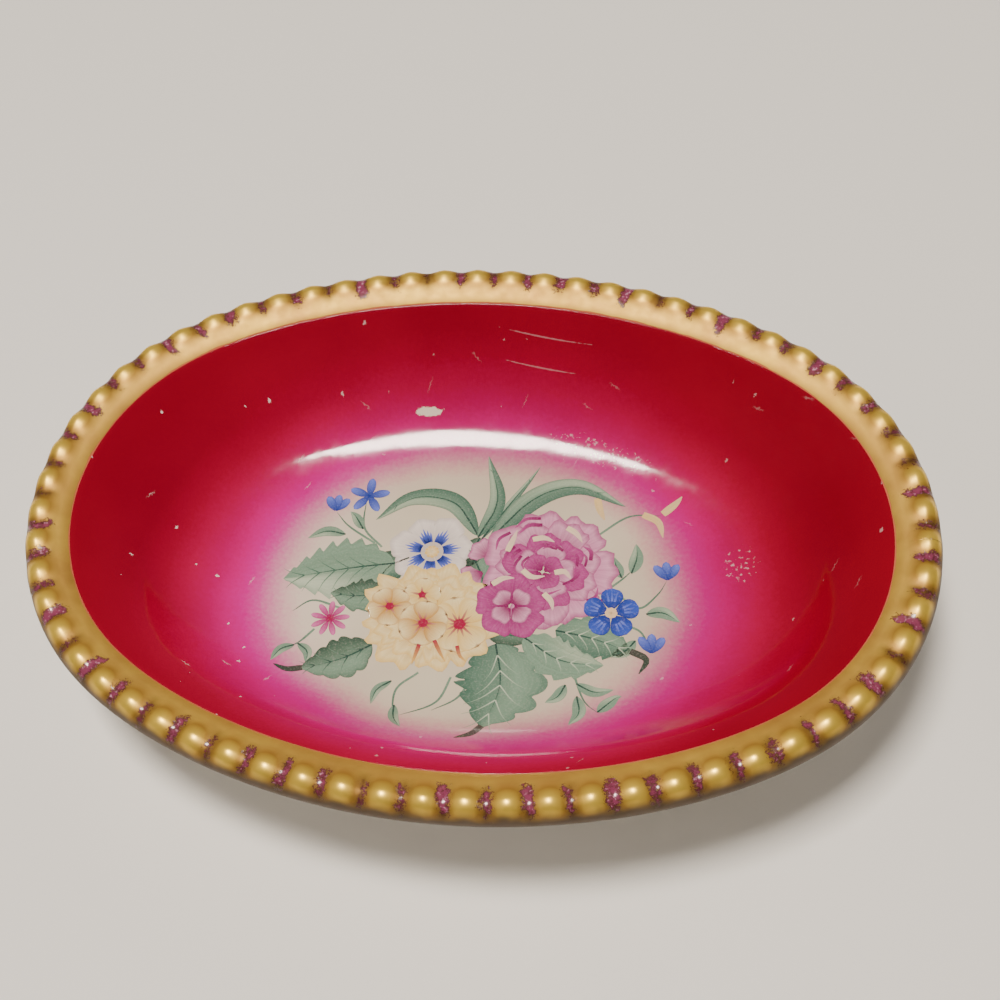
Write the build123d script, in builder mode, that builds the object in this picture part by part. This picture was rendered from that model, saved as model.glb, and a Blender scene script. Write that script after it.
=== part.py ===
from build123d import *
from collections import namedtuple
from math import atan2, cos, degrees, radians, sin, sqrt
import os

# A small oval porcelain dish for rings, in millimetres. It stands on its foot with
# the foot's underside at z = 0, its long axis along X and the bowl open upwards.
# The plan is a four-centred oval: two round ends and two long sides. One wall section
# is carried round all four arcs, so every coat keeps the same thickness all round.

# Driving sizes of the oval
LENGTH = 86.0
END_RADIUS = 26.3
SIDE_RADIUS = 62.0

# Heights above the table
FLOOR_HEIGHT = 5.0
CREST_HEIGHT = 16.85

# Wall section, from the flat floor out to the rolled lip
WALL = 3.0
FLOOR_ARC = 14.0
FLOOR_TURN = 18.0
WALL_ARC = 11.0
WALL_ANGLE = 52.0
LAND_RADIUS = 3.4
CREST_FLAT = 0.5
LIP_RADIUS = 1.6
NECK_RADIUS = 0.8

# Fired coats: glaze, ruby enamel and gold, and the thinner printed enamel on top
COAT = 0.25
PRINT = 0.1
GILT_WIDTH = 4.3
RESERVE_LAP = 5.7

# Foot, which stands a little outside the flat floor
FOOT_LAP = 3.0
FOOT_THICKNESS = 2.4
FOOT_TAPER = 0.4
FOOT_EDGE = 0.35

# Beading in relief along the crest of the rim
BEAD_PITCH = 3.46
BEAD_GAP = 0.4
BEAD_LENGTH = 3.7
BEAD_RELIEF = 0.65

# Printed bouquet: its span is a share of the pale middle's length, and its motifs are shares of that
BOUQUET_SPREAD = 0.64
BOUQUET_DROP = 1.0
PETAL_SLIMNESS = 0.62

# Centres and junctions of the four arcs
END_CENTRE = LENGTH / 2 - END_RADIUS
SIDE_CENTRE = sqrt((SIDE_RADIUS - END_RADIUS) ** 2 - END_CENTRE ** 2)
END_TURN = 2 * degrees(atan2(SIDE_CENTRE, END_CENTRE))
SIDE_TURN = 180 - END_TURN
Arc = namedtuple("Arc", "x y radius start turn")
ARCS = (
    Arc(END_CENTRE, 0, END_RADIUS, -END_TURN / 2, END_TURN),
    Arc(0, -SIDE_CENTRE, SIDE_RADIUS, END_TURN / 2, SIDE_TURN),
    Arc(-END_CENTRE, 0, END_RADIUS, 180 - END_TURN / 2, END_TURN),
    Arc(0, SIDE_CENTRE, SIDE_RADIUS, 180 + END_TURN / 2, SIDE_TURN),
)

# Run of the section, worked out from its turns so that it ends at the crest
FLOOR_RUN = FLOOR_ARC * sin(radians(FLOOR_TURN))
FLOOR_RISE = FLOOR_ARC * (1 - cos(radians(FLOOR_TURN)))
COVE_RUN = WALL_ARC * (sin(radians(WALL_ANGLE)) - sin(radians(FLOOR_TURN)))
COVE_RISE = WALL_ARC * (cos(radians(FLOOR_TURN)) - cos(radians(WALL_ANGLE)))
LAND_RUN = LAND_RADIUS * sin(radians(WALL_ANGLE))
LAND_RISE = LAND_RADIUS * (1 - cos(radians(WALL_ANGLE)))
SLOPE_RISE = CREST_HEIGHT - FLOOR_HEIGHT - FLOOR_RISE - COVE_RISE - LAND_RISE
SLOPE_LENGTH = SLOPE_RISE / sin(radians(WALL_ANGLE))
CREST_INSET = LIP_RADIUS + CREST_FLAT
FLOOR_INSET = FLOOR_RUN + COVE_RUN + SLOPE_LENGTH * cos(radians(WALL_ANGLE)) + LAND_RUN + CREST_INSET
LIP_BOTTOM = CREST_HEIGHT - 2 * LIP_RADIUS
HEIGHT = CREST_HEIGHT + BEAD_RELIEF
RESERVE_INSET = FLOOR_INSET - RESERVE_LAP
FOOT_INNER_INSET = FLOOR_INSET - FOOT_LAP
FOOT_INSET = FOOT_INNER_INSET - FOOT_THICKNESS
BOUQUET_SPAN = BOUQUET_SPREAD * (LENGTH - 2 * RESERVE_INSET)


def section_plane(arc, angle):
    """Plane square to the rim: origin on the outline at z = 0, X outwards, Y upwards."""
    outwards = Vector(cos(radians(angle)), sin(radians(angle)), 0)
    origin = Vector(arc.x, arc.y, 0) + outwards * arc.radius
    return Plane(origin=origin, x_dir=outwards, z_dir=outwards.cross(Vector(0, 0, 1)))


def oval(inset):
    """Face of the outline, set in all round by the inset."""
    with BuildSketch() as face:
        with BuildLine():
            for arc in ARCS:
                CenterArc((arc.x, arc.y), arc.radius - inset, arc.start, arc.turn)
        make_face()
    return face.sketch


def carry_round(section):
    """Revolve one section about each of the four centres, into the open part."""
    for arc in ARCS:
        with BuildSketch(section_plane(arc, arc.start)) as placed:
            add(section)
        revolve(placed.sketch, axis=Axis((arc.x, arc.y, 0), (0, 0, 1)), revolution_arc=arc.turn)


def floor_plate(bottom, top, inset):
    """Flat middle of a layer, inside the part that is carried round."""
    with BuildSketch(Plane.XY.offset(bottom)) as placed:
        add(oval(inset))
    extrude(placed.sketch, amount=top - bottom)


def wall_section(inside, outside):
    """Section of the dish, its bowl face and its under face set in below the glaze."""
    with BuildSketch() as section:
        with BuildLine():
            start = (-FLOOR_INSET, FLOOR_HEIGHT - inside)
            floor = JernArc(start, (1, 0), FLOOR_ARC + inside, FLOOR_TURN)
            cove = JernArc(floor @ 1, floor % 1, WALL_ARC + inside, WALL_ANGLE - FLOOR_TURN)
            slope = Line(cove @ 1, cove @ 1 + (cove % 1) * SLOPE_LENGTH)
            land = JernArc(slope @ 1, slope % 1, LAND_RADIUS - inside, -WALL_ANGLE)
            crest = Line(land @ 1, land @ 1 + (land % 1) * CREST_FLAT)
            lip = JernArc(crest @ 1, crest % 1, LIP_RADIUS - inside, -180)
            below = (-FLOOR_INSET, FLOOR_HEIGHT - WALL + outside)
            under = JernArc(below, (1, 0), FLOOR_ARC + WALL - outside, FLOOR_TURN)
            turn = JernArc(under @ 1, under % 1, WALL_ARC + WALL - outside, WALL_ANGLE - FLOOR_TURN)
            rise = (LIP_BOTTOM + outside - (turn @ 1).Y) / sin(radians(WALL_ANGLE))
            flare = Line(turn @ 1, turn @ 1 + (turn % 1) * rise)
            neck = Vector(-LIP_RADIUS, LIP_BOTTOM + outside)
            Line(neck, flare @ 1)
            if inside != outside:
                Line(lip @ 1, neck)
            Line(below, start)
        make_face()
        fillet(section.vertices().sort_by_distance(flare @ 1)[0], NECK_RADIUS + outside)
    return section.sketch


def coat_section(deep, shallow, inner_inset, outer_inset):
    """What one wall section has over another, between two insets from the outline."""
    width = inner_inset - outer_inset
    with BuildSketch() as section:
        add(shallow)
        add(deep, mode=Mode.SUBTRACT)
        with Locations((-outer_inset - width / 2, 0)):
            Rectangle(width, 2 * HEIGHT, mode=Mode.INTERSECT)
    return section.sketch


body_section = wall_section(COAT, COAT)
bowl_coat_section = wall_section(0, COAT)
under_coat_section = wall_section(COAT, 0)
print_section = wall_section(-PRINT, COAT)

# Porcelain body: flat floor, flared wall and plain rolled lip, in the biscuit
with BuildPart() as dish_body:
    carry_round(body_section)
    floor_plate(FLOOR_HEIGHT - WALL + COAT, FLOOR_HEIGHT - COAT, FLOOR_INSET)

# Foot: a low oval ring that tapers down, cut to the underside of the body
with BuildSketch() as foot_section:
    with BuildLine():
        Polyline(
            (-FOOT_INSET, FLOOR_HEIGHT - WALL / 2),
            (-FOOT_INSET - FOOT_TAPER, 0),
            (-FOOT_INNER_INSET + FOOT_TAPER, 0),
            (-FOOT_INNER_INSET, FLOOR_HEIGHT - WALL / 2),
            close=True,
        )
    make_face()
    fillet(foot_section.vertices().group_by(Axis.Y)[0], FOOT_EDGE)
    add(body_section, mode=Mode.SUBTRACT)

with BuildPart() as foot_ring:
    carry_round(foot_section.sketch)

# Coats on the body: gold over the lip, ruby enamel on the wall, pale glaze in the middle
with BuildPart() as gilt_edge:
    carry_round(coat_section(body_section, bowl_coat_section, GILT_WIDTH, 0))

with BuildPart() as ruby_ground:
    carry_round(coat_section(body_section, bowl_coat_section, RESERVE_INSET, GILT_WIDTH))

with BuildPart() as centre_glaze:
    carry_round(coat_section(body_section, bowl_coat_section, FLOOR_INSET, RESERVE_INSET))
    floor_plate(FLOOR_HEIGHT - COAT, FLOOR_HEIGHT, FLOOR_INSET)

# Clear glaze under the dish, outside the foot and within it
with BuildSketch() as under_coat:
    add(coat_section(body_section, under_coat_section, FLOOR_INSET, LIP_RADIUS))
    add(foot_section.sketch, mode=Mode.SUBTRACT)
under_glazes = under_coat.faces().sort_by(Axis.X)

with BuildPart() as outside_glaze:
    carry_round(under_glazes[-1])

with BuildPart() as base_glaze:
    carry_round(under_glazes[0])
    floor_plate(FLOOR_HEIGHT - WALL, FLOOR_HEIGHT - WALL + COAT, FLOOR_INSET)

# Beads: long domes across the crest, seated on the gold, valley to valley on each arc
with BuildPart() as bead:
    with BuildSketch(Plane.XY):
        Ellipse(BEAD_LENGTH / 2, (BEAD_PITCH - BEAD_GAP) / 2)
        with Locations((0, BEAD_LENGTH / 2)):
            Rectangle(BEAD_LENGTH, BEAD_LENGTH, mode=Mode.INTERSECT)
    revolve(axis=Axis.X)

bead_places = []
for arc in ARCS:
    run = radians(arc.turn) * (arc.radius - CREST_INSET)
    count = round(run / BEAD_PITCH)
    for index in range(count):
        rim_plane = section_plane(arc, arc.start + arc.turn * (index + 1 / 2) / count)
        sunk = Location((-CREST_INSET, HEIGHT - (BEAD_PITCH - BEAD_GAP) / 2, 0))
        bead_places.append(rim_plane.location * sunk)

with BuildPart() as seat:
    carry_round(wall_section(0, 0))

with BuildPart() as bead_border:
    with Locations(bead_places):
        add(bead.part)
    add(seat.part, mode=Mode.SUBTRACT)

# Printed bouquet of common garden flowers, one film of enamel cut into motifs
# Flower: place, radius and petals. Leaf: stalk, tip, width and bend
ROSE_SHARES = (
    (0.165, 0.03, 0.2, 7),
    (0.10, -0.085, 0.12, 6),
)
YELLOW_SHARES = ((-0.12, -0.145, 0.17, 8),)
WHITE_SHARES = ((-0.15, 0.06, 0.11, 6),)
DAISY_SHARES = ((-0.375, -0.16, 0.045, 8),)
BLUE_SHARES = (
    (0.345, -0.08, 0.065, 5),
    (-0.34, 0.225, 0.055, 5),
    (0.485, 0.03, 0.032, 3),
    (0.46, -0.19, 0.032, 3),
    (-0.425, 0.17, 0.045, 4),
)
LEAF_SHARES = (
    (-0.28, 0.0, -0.52, -0.05, 0.11, 0.02),
    (-0.03, 0.12, -0.29, 0.15, 0.05, 0.07),
    (-0.02, 0.16, -0.045, 0.36, 0.04, 0.01),
    (0.12, 0.19, 0.30, 0.28, 0.06, -0.04),
    (0.12, -0.16, 0.33, -0.24, 0.07, 0.03),
    (0.06, -0.20, 0.10, -0.47, 0.15, 0.03),
    (-0.05, -0.27, -0.14, -0.46, 0.03, 0.01),
    (-0.24, -0.26, -0.35, -0.31, 0.05, 0.01),
    (0.24, -0.22, 0.36, -0.37, 0.05, -0.02),
)


def bouquet_point(x_share, y_share):
    """Point of the bouquet, which sits a little nearer than the dish's middle."""
    return (x_share * BOUQUET_SPAN, y_share * BOUQUET_SPAN - BOUQUET_DROP)


def flower(x_share, y_share, radius_share, petals):
    """Ring of petals round a middle, into the open sketch."""
    radius = radius_share * BOUQUET_SPAN
    with Locations(bouquet_point(x_share, y_share)):
        Circle(radius / 2)
        with PolarLocations(radius / 2, petals):
            Ellipse(radius / 2, PETAL_SLIMNESS * radius / 2)


def leaf(x_share, y_share, tip_x_share, tip_y_share, width_share, bend_share):
    """Pointed leaf between two arcs, into the open sketch."""
    stalk = Vector(*bouquet_point(x_share, y_share))
    tip = Vector(*bouquet_point(tip_x_share, tip_y_share))
    across = (tip - stalk).normalized().rotate(Axis.Z, 90) * BOUQUET_SPAN
    middle = (stalk + tip) / 2 + across * bend_share
    with BuildLine() as outline:
        ThreePointArc(stalk, middle + across * width_share / 2, tip)
        ThreePointArc(tip, middle - across * width_share / 2, stalk)
    make_face(outline.edges())


def motif(flowers, leaves=(), behind=()):
    """One colour of the bouquet, cut back where other motifs lie over it."""
    with BuildSketch() as shape:
        for share in flowers:
            flower(*share)
        for share in leaves:
            leaf(*share)
        for front in behind:
            add(front, mode=Mode.SUBTRACT)
    return shape.sketch


blue_motif = motif(BLUE_SHARES)
daisy_motif = motif(DAISY_SHARES)
rose_motif = motif(ROSE_SHARES, behind=(blue_motif,))
yellow_motif = motif(YELLOW_SHARES, behind=(rose_motif,))
white_motif = motif(WHITE_SHARES, behind=(rose_motif, yellow_motif))
leaf_motif = motif((), LEAF_SHARES, (rose_motif, yellow_motif, white_motif, blue_motif, daisy_motif))

with BuildPart() as print_film:
    carry_round(coat_section(bowl_coat_section, print_section, FLOOR_INSET, GILT_WIDTH))
    floor_plate(FLOOR_HEIGHT, FLOOR_HEIGHT + PRINT, FLOOR_INSET)


def printed(shape):
    """The share of the film that lies under one motif."""
    with BuildPart() as film:
        extrude(shape, amount=HEIGHT)
        add(print_film.part, mode=Mode.INTERSECT)
    return film


pieces = {
    "dish_body": dish_body,
    "foot_ring": foot_ring,
    "gilt_edge": gilt_edge,
    "bead_border": bead_border,
    "ruby_ground": ruby_ground,
    "centre_glaze": centre_glaze,
    "outside_glaze": outside_glaze,
    "base_glaze": base_glaze,
    "rose_print": printed(rose_motif),
    "yellow_bloom_print": printed(yellow_motif),
    "white_flower_print": printed(white_motif),
    "blue_flower_print": printed(blue_motif),
    "daisy_print": printed(daisy_motif),
    "leaf_print": printed(leaf_motif),
}

os.makedirs("parts", exist_ok=True)
for name, piece in pieces.items():
    piece.part.label = name
    export_step(piece.part, f"parts/{name}.step")
    print(name, len(piece.part.solids()), "solids", round(piece.part.volume, 2), "mm3")
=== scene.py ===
"""A small oval porcelain dish for rings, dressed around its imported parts, in metres."""

import math
import random

import bmesh
import bpy
import numpy as np
from mathutils import Matrix, Vector
from mathutils.bvhtree import BVHTree


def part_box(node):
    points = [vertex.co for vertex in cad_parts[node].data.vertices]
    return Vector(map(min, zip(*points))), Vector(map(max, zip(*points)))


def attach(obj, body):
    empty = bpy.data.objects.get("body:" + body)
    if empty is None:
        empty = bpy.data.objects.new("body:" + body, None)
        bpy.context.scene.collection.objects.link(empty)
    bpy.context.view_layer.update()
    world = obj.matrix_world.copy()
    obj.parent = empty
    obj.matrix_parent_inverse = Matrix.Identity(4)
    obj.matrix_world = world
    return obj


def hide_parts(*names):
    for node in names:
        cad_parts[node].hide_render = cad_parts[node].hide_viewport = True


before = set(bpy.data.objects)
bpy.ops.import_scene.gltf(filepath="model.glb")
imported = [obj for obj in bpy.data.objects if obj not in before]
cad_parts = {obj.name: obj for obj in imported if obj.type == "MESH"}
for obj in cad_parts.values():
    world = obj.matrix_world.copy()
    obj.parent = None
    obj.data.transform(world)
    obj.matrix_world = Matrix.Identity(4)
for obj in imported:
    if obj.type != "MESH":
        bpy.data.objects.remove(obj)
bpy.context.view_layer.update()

MM = 0.001
DEGREE = math.pi / 180

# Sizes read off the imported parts
rim_low, rim_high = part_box("gilt_edge")
HALF_LENGTH = rim_high.x
HALF_WIDTH = rim_high.y
CREST = rim_high.z
LIP_BOTTOM = rim_low.z
LIP_RADIUS = (CREST - LIP_BOTTOM) / 2
BEAD_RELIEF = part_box("bead_border")[1].z - CREST

# Sizes of the wall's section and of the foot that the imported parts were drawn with
COAT = 0.25 * MM
WALL = 3.0 * MM
FLOOR_ARC = 14.0 * MM
FLOOR_TURN = 18 * DEGREE
WALL_ARC = 11.0 * MM
WALL_ANGLE = 52 * DEGREE
LAND_RADIUS = 3.4 * MM
CREST_FLAT = 0.5 * MM
NECK_RADIUS = 0.8 * MM
GILT_WIDTH = 4.3 * MM
FOOT_LAP = 3.0 * MM
FOOT_THICKNESS = 2.4 * MM
FOOT_TAPER = 0.4 * MM
FOOT_EDGE = 0.35 * MM

# Heights where the foot's outer and inner sides begin to lean, and where they have eased into it
FOOT_OUTER_LEAN = (2.9 * MM, 2.2 * MM)
FOOT_INNER_LEAN = (2.3 * MM, 1.6 * MM)

# Height of the bowl's floor, the top of its glaze
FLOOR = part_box("centre_glaze")[0].z + COAT

# Run of the section, worked out so that it ends at the crest
floor_rise = FLOOR_ARC * (1 - math.cos(FLOOR_TURN))
cove_rise = WALL_ARC * (math.cos(FLOOR_TURN) - math.cos(WALL_ANGLE))
land_rise = LAND_RADIUS * (1 - math.cos(WALL_ANGLE))
SLOPE_LENGTH = (CREST - FLOOR - floor_rise - cove_rise - land_rise) / math.sin(WALL_ANGLE)
FLOOR_INSET = (
    FLOOR_ARC * math.sin(FLOOR_TURN)
    + WALL_ARC * (math.sin(WALL_ANGLE) - math.sin(FLOOR_TURN))
    + SLOPE_LENGTH * math.cos(WALL_ANGLE)
    + LAND_RADIUS * math.sin(WALL_ANGLE)
    + CREST_FLAT
    + LIP_RADIUS
)
FOOT_INNER_INSET = FLOOR_INSET - FOOT_LAP
FOOT_INSET = FOOT_INNER_INSET - FOOT_THICKNESS

# Outline: where the round ends meet the long sides, and how gently
JUNCTION = 62 * DEGREE
EASING = 16 * DEGREE

# Steps round the outline, and along the stretches of the section
BOWL_STEPS = 512
UNDER_STEPS = 384
FLOOR_STEPS = 10
COVE_STEPS = 14
LAND_STEPS = 16
NECK_STEPS = 8
LIP_STEPS = 26
LIP_BACK_STEPS = 10

# Beaded border: the row, each bead's reach to both sides of its middle, that middle's place over
# the gold from its inner edge, and the share of the relief that the valleys keep
BEADS = 64
BEAD_STEPS = 20
BEAD_FIRST = 0.5
BEAD_REACH = 2.35 * MM
BEAD_MIDDLE = 3.45 * MM
BEAD_VALLEY = 0.24

# Bands over the gold from its inner edge: bare line painted as a glint, wear between beads, painted shade in
# the grooves, painted shadow on the underside
BARE_LINE_GLINT_BAND = (0.10 * MM, 0.14 * MM)
WEAR_RISE = (1.2 * MM, 2.3 * MM)
WEAR_FALL = (3.9 * MM, 5.6 * MM)
GROOVE_SHADE_BANDS = ((1.3 * MM, 2.4 * MM), (5.6 * MM, 4.4 * MM))
UNDERSIDE_SHADOW_BAND = (4.4 * MM, 5.7 * MM)

# Fade of the ruby ground: the middle and radii of an oval in the plan, and the tones from that
# middle outwards, with 0.50 on the oval
FADE_MIDDLE = (-0.6 * MM, -2.0 * MM)
FADE_RADII = (20.3 * MM, 16.4 * MM)
FADE_TONES = (
    (0.38, "e1d6c4"),
    (0.43, "e1d0c2"),
    (0.465, "deb4b6"),
    (0.50, "d788aa"),
    (0.535, "d24c9c"),
    (0.57, "d0188e"),
    (0.61, "cc0279"),
    (0.65, "be0061"),
    (0.70, "b60348"),
    (0.75, "a50332"),
    (0.81, "980428"),
    (0.90, "900422"),
)

# Marks on the bowl: middle and radii in millimetres of the plan, and turn. The rubbed spot is worn glaze
# painted pale partly as sheen of the overhead highlight; the fine streaks are painted glints.
CHIP = ((-7.9, 18.2), (1.5, 0.42), 0.1)
CRAZED_SPOT = ((25.4, 3.4), (1.8, 2.1), 0.0)
RUBBED_AND_SHEEN_SPOT = ((10.6, 15.2), (5.5, 1.3), -0.3)
PAINTED_GLINT_STREAKS = (
    ((4.0, 24.0), (4.4, 0.055), -0.12),
    ((3.8, 22.0), (3.8, 0.055), -0.12),
)

# Glaze that ran down the wall and lies thicker at its foot, seen in how the wall reflects
POOL_START = FLOOR + 1.5 * MM
POOL_DEPTH = 5.0 * MM
POOL_HALF_SPAN = 22.0 * MM

# Camera, at the photograph's viewing angle
CAMERA_PLACE = Vector((20.47, -77.01, 133.13)) * MM
CAMERA_HEADING = 12.96 * DEGREE
CAMERA_DROP = 55.39 * DEGREE
CAMERA_ROLL = -6.68 * DEGREE
CAMERA_LENS = 54.38


def colour(code):
    """Linear colour of a six-digit screen colour."""
    shares = [int(code[i : i + 2], 16) / 255 for i in (0, 2, 4)]
    return tuple(s / 12.92 if s <= 0.04045 else ((s + 0.055) / 1.055) ** 2.4 for s in shares) + (1,)


# Tones of the gold and of the enamel that shows through it, with painted shade and highlight on the beads,
# painted shade in the grooves, painted shadow on the underside and painted glints
LAND_DULL, LAND_BRIGHT = colour("ca9a48"), colour("e2b84e")
BEAD_PAINTED_SHADE, BEAD_PAINTED_HIGHLIGHT = colour("c0923c"), colour("fcd452")
GROOVE_PAINTED_SHADE, UNDERSIDE_PAINTED_SHADOW = colour("583619"), colour("2e1b0c")
WORN_BROWN, WORN_RUBY, WORN_PAINTED_GLINT = colour("3e1c1a"), colour("863858"), colour("cc92a8")
BARE_LINE_PAINTED_GLINT = colour("cc6a4c")


# Node helpers

def fill(tree, sockets, values):
    """Links sockets to other sockets, or sets them to values, by their names or numbers."""
    for key, value in dict(values).items():
        if isinstance(value, bpy.types.NodeSocket):
            tree.links.new(value, sockets[key])
        else:
            sockets[key].default_value = value


def node(tree, kind, inputs=(), **settings):
    """Adds a node with its settings, and fills its inputs."""
    made = tree.nodes.new(kind)
    for setting, value in settings.items():
        setattr(made, setting, value)
    fill(tree, made.inputs, inputs)
    return made


def maths(tree, operation, *values):
    """Result of a maths node, which takes more than two values in turn."""
    result = node(tree, "ShaderNodeMath", enumerate(values[:2]), operation=operation).outputs[0]
    for value in values[2:]:
        result = node(tree, "ShaderNodeMath", {0: result, 1: value}, operation=operation).outputs[0]
    return result


def total(tree, *values):
    return maths(tree, "ADD", *values)


def product(tree, *values):
    return maths(tree, "MULTIPLY", *values)


def greatest(tree, *values):
    return maths(tree, "MAXIMUM", *values)


def swing(tree, value, size):
    """Value about a half, made to swing about zero over that size."""
    return product(tree, maths(tree, "SUBTRACT", value, 0.5), size)


def spread(tree, value, low, high, new_low=0.0, new_high=1.0, smooth=False):
    """Maps a value from one range to another and holds it there."""
    mapped = node(
        tree,
        "ShaderNodeMapRange",
        {0: value, 1: low, 2: high, 3: new_low, 4: new_high},
        interpolation_type="SMOOTHSTEP" if smooth else "LINEAR",
        clamp=True,
    )
    return mapped.outputs[0]


def mixed(tree, share, first, second, blend="MIX"):
    """Colour between two colours."""
    colours = {0: share, 6: first, 7: second}
    return node(tree, "ShaderNodeMix", colours, data_type="RGBA", blend_type=blend).outputs[2]


def noise(tree, place, scale, detail=3.0, roughness=0.5):
    sizes = {"Vector": place, "Scale": scale, "Detail": detail, "Roughness": roughness}
    return node(tree, "ShaderNodeTexNoise", sizes).outputs["Fac"]


def mottled(tree, place, scale, detail=3.0, low=0.0, high=1.0):
    """Value that drifts from one to another over the surface."""
    return spread(tree, noise(tree, place, scale, detail), 0.3, 0.7, low, high)


def ramp(tree, value, stops):
    """Colour ramp through (place, colour code) stops."""
    made = node(tree, "ShaderNodeValToRGB", {0: value})
    elements = made.color_ramp.elements
    while len(elements) < len(stops):
        elements.new(1.0)
    for element, (place, code) in zip(elements, stops):
        element.position = place
        element.color = colour(code)
    return made.outputs[0]


def bumped(tree, height, strength, distance, under=None):
    """Normal of a raised surface, over another normal where there is one."""
    values = {"Strength": strength, "Distance": distance, "Height": height}
    if under is not None:
        values["Normal"] = under
    return node(tree, "ShaderNodeBump", values).outputs[0]


def attribute(tree, name, kind="Fac"):
    return node(tree, "ShaderNodeAttribute", attribute_name=name).outputs[kind]


def group(name, inputs, outputs, kind="ShaderNodeTree"):
    """Node group with named sockets; gives its tree, the sockets that come in and those that go out."""
    tree = bpy.data.node_groups.new(name, kind)
    for label, socket_type, value in inputs:
        socket = tree.interface.new_socket(label, in_out="INPUT", socket_type=socket_type)
        if value is not None:
            socket.default_value = value
    for label, socket_type in outputs:
        tree.interface.new_socket(label, in_out="OUTPUT", socket_type=socket_type)
    return tree, tree.nodes.new("NodeGroupInput").outputs, tree.nodes.new("NodeGroupOutput").inputs


def use(tree, made_group, inputs=()):
    """Places a node group in a tree."""
    placed = tree.nodes.new("ShaderNodeGroup")
    placed.node_tree = made_group
    fill(tree, placed.inputs, inputs)
    return placed.outputs


def material(name):
    """Material with a Principled shader; gives it, its tree, the shader's inputs and a point's place."""
    made = bpy.data.materials.new(name)
    made.use_nodes = True
    tree = made.node_tree
    tree.nodes.clear()
    shader = tree.nodes.new("ShaderNodeBsdfPrincipled")
    output = tree.nodes.new("ShaderNodeOutputMaterial")
    tree.links.new(shader.outputs[0], output.inputs[0])
    return made, tree, shader.inputs, node(tree, "ShaderNodeTexCoord").outputs["Object"]


FLOAT = "NodeSocketFloat"
VECTOR = "NodeSocketVector"
COLOUR = "NodeSocketColor"
GEOMETRY = "NodeSocketGeometry"


# Effects that several finishes share

def glaze_ripple_group():
    """Slow waviness and fine orange peel of a fired glaze, as a normal."""
    tree, given, out = group(
        "Glaze ripple",
        [("Place", VECTOR, None), ("Wave", FLOAT, 0.3), ("Peel", FLOAT, 0.1)],
        [("Normal", VECTOR)],
    )
    wave = noise(tree, given["Place"], 90.0, 2.0)
    peel = noise(tree, given["Place"], 1400.0, 2.0)
    slow = bumped(tree, wave, given["Wave"], 0.6 * MM)
    fill(tree, out, {"Normal": bumped(tree, peel, given["Peel"], 0.04 * MM, slow)})
    return tree


def cells(tree, place, scale):
    """Random cells in plan; gives how far each point is from its cell's middle, and the cell's chances."""
    made = node(
        tree,
        "ShaderNodeTexVoronoi",
        {"Vector": place, "Scale": scale, "Randomness": 1.0},
        voronoi_dimensions="2D",
    )
    return made.outputs["Distance"], node(tree, "ShaderNodeSeparateColor", {0: made.outputs["Color"]}).outputs


def specks_group():
    """Scattered specks and short scratches that a used surface shows, as a mask."""
    tree, given, out = group(
        "Specks and scratches",
        [("Place", VECTOR, None), ("Specks", FLOAT, 0.5), ("Scratches", FLOAT, 0.5)],
        [("Mask", FLOAT)],
    )
    shake = 0.5 * MM
    shaken = node(tree, "ShaderNodeTexNoise", {"Vector": given["Place"], "Scale": 3800.0, "Detail": 3.0})
    moved = node(
        tree,
        "ShaderNodeVectorMath",
        {0: shaken.outputs["Color"], 1: (shake, shake, 0.0)},
        operation="MULTIPLY",
    )
    shifted = node(tree, "ShaderNodeVectorMath", {0: given["Place"], 1: moved.outputs[0]}, operation="ADD")
    spot = shifted.outputs[0]
    away, chance = cells(tree, spot, 420.0)
    dot = maths(tree, "LESS_THAN", away, spread(tree, chance[1], 0.0, 1.0, 0.015, 0.07))
    specks = product(tree, dot, maths(tree, "GREATER_THAN", chance[0], 0.90), given["Specks"])
    lines = []
    for turn in (1.1, -0.45):
        turned = node(
            tree,
            "ShaderNodeMapping",
            {"Vector": spot, "Rotation": (0.0, 0.0, turn), "Scale": (1.0, 0.1, 1.0)},
            vector_type="TEXTURE",
        )
        away, chance = cells(tree, turned.outputs[0], 130.0)
        rare = maths(tree, "GREATER_THAN", chance[1], 0.972)
        lines.append(product(tree, spread(tree, away, 0.03, 0.09, 1.0, 0.0), rare))
    scratches = product(tree, greatest(tree, *lines), given["Scratches"])
    fill(tree, out, {"Mask": greatest(tree, specks, scratches)})
    return tree


def printed_enamel_group():
    """Printed enamel: the patch's own tone, streaked and stippled like a transfer print."""
    tree, given, out = group(
        "Printed enamel",
        [
            ("Tone", COLOUR, None),
            ("Weave", VECTOR, None),
            ("Place", VECTOR, None),
            ("Streaks", FLOAT, 0.25),
            ("Stipple", FLOAT, 0.2),
        ],
        [("Color", COLOUR)],
    )
    tone = given["Tone"]
    stretched = node(tree, "ShaderNodeMapping", {"Vector": given["Weave"], "Scale": (7.0, 0.9, 1.0)})
    brushed = spread(tree, noise(tree, stretched.outputs[0], 1.6), 0.35, 0.75)
    dark = node(tree, "ShaderNodeHueSaturation", {"Saturation": 1.25, "Value": 0.55, "Color": tone})
    streaked = mixed(tree, product(tree, brushed, given["Streaks"]), tone, dark.outputs[0])
    dotted = spread(tree, noise(tree, given["Place"], 5200.0, 2.0), 0.5, 0.8)
    stippled = mixed(tree, product(tree, dotted, given["Stipple"]), streaked, colour("e4d6cc"))
    fill(tree, out, {"Color": stippled})
    return tree


glaze_ripple = glaze_ripple_group()
specks_and_scratches = specks_group()
printed_enamel = printed_enamel_group()


def rippled(tree, place, wave, peel):
    return use(tree, glaze_ripple, {"Place": place, "Wave": wave, "Peel": peel})["Normal"]


def speckled(tree, place, specks, scratches):
    strengths = {"Place": place, "Specks": specks, "Scratches": scratches}
    return use(tree, specks_and_scratches, strengths)["Mask"]


# Finishes

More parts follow.
